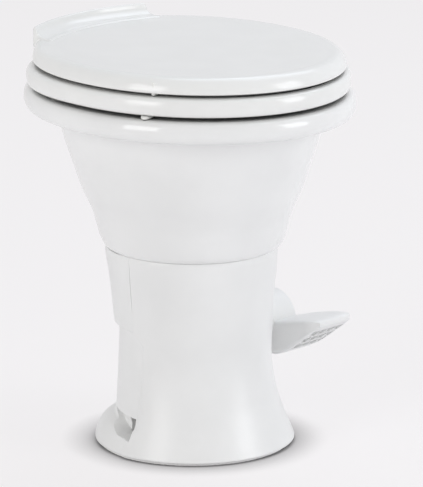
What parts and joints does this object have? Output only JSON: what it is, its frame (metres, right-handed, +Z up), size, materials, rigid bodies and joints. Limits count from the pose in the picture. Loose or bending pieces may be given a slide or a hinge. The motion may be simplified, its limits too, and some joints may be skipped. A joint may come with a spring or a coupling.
{
  "type": "rv toilet",
  "caption": "Gravity toilet for a caravan: oval ceramic bowl with seat and lid on a waisted plastic pedestal, with a foot pedal that opens a ball valve and the rinse water.",
  "frame": {"origin": "floor level under the centre of the oval rim, which is also the centre of the overall box in plan", "axes": "+Z up, -Y towards the front of the bowl, +X towards the sitter's left, where the pedal is"},
  "size_m": [0.375, 0.42, 0.502],
  "materials": {
    "base_screw_left": "satin",
    "base_screw_right": "satin",
    "bolt_cap_left": "satin",
    "bolt_cap_right": "satin",
    "bolt_nut_left": "satin",
    "bolt_nut_right": "satin",
    "bolt_washer_left": "satin",
    "bolt_washer_right": "satin",
    "bowl": "gloss",
    "bowl_seal": "matt",
    "breaker_body": "satin",
    "breaker_cap": "satin",
    "breaker_float": "matt",
    "cam": "satin",
    "clamp_left": "satin",
    "clamp_right": "satin",
    "clamp_screw_front": "satin",
    "clamp_screw_rear": "satin",
    "closet_bolt_left": "satin",
    "closet_bolt_right": "satin",
    "drive_shaft": "satin",
    "floor_seal": "matt",
    "flush_ball": "satin",
    "hinge_bolt_left": "satin",
    "hinge_bolt_right": "satin",
    "hinge_pin_left": "satin",
    "hinge_pin_right": "satin",
    "hinge_post_left": "satin",
    "hinge_post_right": "satin",
    "hose_band_high": "satin",
    "hose_band_low": "satin",
    "hub_cap": "satin",
    "inlet_fitting": "satin",
    "lid": "satin",
    "lid_bumper_left": "matt",
    "lid_bumper_right": "matt",
    "pedal": "satin",
    "pedal_screw": "satin",
    "pedestal": "satin",
    "pivot_shaft": "satin",
    "rear_cover": "satin",
    "return_spring": "satin",
    "seat": "satin",
    "seat_bumper_front_left": "matt",
    "seat_bumper_front_right": "matt",
    "seat_bumper_rear_left": "matt",
    "seat_bumper_rear_right": "matt",
    "shaft_bush_left": "satin",
    "shaft_bush_right": "satin",
    "spring_case": "satin",
    "spud_grommet": "matt",
    "supply_hose": "satin",
    "valve_housing": "satin",
    "valve_plunger": "satin",
    "water_valve": "satin",
    "wing_nut_left": "satin",
    "wing_nut_right": "satin"
  },
  "bodies": {
    "base": {"base_screw_left": "base_screw_left", "base_screw_right": "base_screw_right", "bolt_nut_left": "bolt_nut_left", "bolt_nut_right": "bolt_nut_right", "bolt_washer_left": "bolt_washer_left", "bolt_washer_right": "bolt_washer_right", "bowl": "bowl", "bowl_seal": "bowl_seal", "breaker_body": "breaker_body", "breaker_cap": "breaker_cap", "clamp_left": "clamp_left", "clamp_right": "clamp_right", "clamp_screw_front": "clamp_screw_front", "clamp_screw_rear": "clamp_screw_rear", "closet_bolt_left": "closet_bolt_left", "closet_bolt_right": "closet_bolt_right", "floor_seal": "floor_seal", "hinge_bolt_left": "hinge_bolt_left", "hinge_bolt_right": "hinge_bolt_right", "hinge_pin_left": "hinge_pin_left", "hinge_pin_right": "hinge_pin_right", "hinge_post_left": "hinge_post_left", "hinge_post_right": "hinge_post_right", "hose_band_high": "hose_band_high", "hose_band_low": "hose_band_low", "inlet_fitting": "inlet_fitting", "pedestal": "pedestal", "rear_cover": "rear_cover", "return_spring": "return_spring", "shaft_bush_left": "shaft_bush_left", "shaft_bush_right": "shaft_bush_right", "spring_case": "spring_case", "spud_grommet": "spud_grommet", "supply_hose": "supply_hose", "valve_housing": "valve_housing", "water_valve": "water_valve", "wing_nut_left": "wing_nut_left", "wing_nut_right": "wing_nut_right"},
    "seat": {"seat": "seat", "seat_bumper_front_left": "seat_bumper_front_left", "seat_bumper_front_right": "seat_bumper_front_right", "seat_bumper_rear_left": "seat_bumper_rear_left", "seat_bumper_rear_right": "seat_bumper_rear_right"},
    "lid": {"lid": "lid", "lid_bumper_left": "lid_bumper_left", "lid_bumper_right": "lid_bumper_right"},
    "pedal": {"flush_ball": "flush_ball", "drive_shaft": "drive_shaft", "pivot_shaft": "pivot_shaft", "pedal": "pedal", "pedal_screw": "pedal_screw", "hub_cap": "hub_cap", "cam": "cam"},
    "plunger": {"valve_plunger": "valve_plunger"},
    "float": {"breaker_float": "breaker_float"},
    "cap_left": {"bolt_cap_left": "bolt_cap_left"},
    "cap_right": {"bolt_cap_right": "bolt_cap_right"}
  },
  "joints": [
    {"name": "seat_hinge", "type": "hinge", "parent": "base", "child": "seat", "pos_m": [0, 0.172, 0.46], "axis": [1, 0, 0], "range_deg": [-95, 0]},
    {"name": "lid_hinge", "type": "hinge", "parent": "seat", "child": "lid", "pos_m": [0, 0.172, 0.46], "axis": [-1, 0, 0], "range_deg": [0, 95]},
    {"name": "pedal_turn", "type": "hinge", "parent": "base", "child": "pedal", "pos_m": [0, 0, 0.123], "axis": [1, 0, 0], "range_deg": [0, 75], "stiffness_Nm_per_rad": 1.5, "springref_deg": -34.38},
    {"name": "plunger_slide", "type": "slide", "parent": "base", "child": "plunger", "axis": [0, 0, 1], "range_m": [0, 0.0061]},
    {"name": "float_slide", "type": "slide", "parent": "base", "child": "float", "axis": [0, 0, 1], "range_m": [0, 0.009]},
    {"name": "cap_left_pull", "type": "slide", "parent": "base", "child": "cap_left", "axis": [0, 0, 1], "range_m": [0, 0.0145]},
    {"name": "cap_right_pull", "type": "slide", "parent": "base", "child": "cap_right", "axis": [0, 0, 1], "range_m": [0, 0.0145]}
  ],
  "couplings": [
    {"joint": "plunger_slide", "follows": "pedal_turn", "m_per_rad": 0.004584}
  ]
}
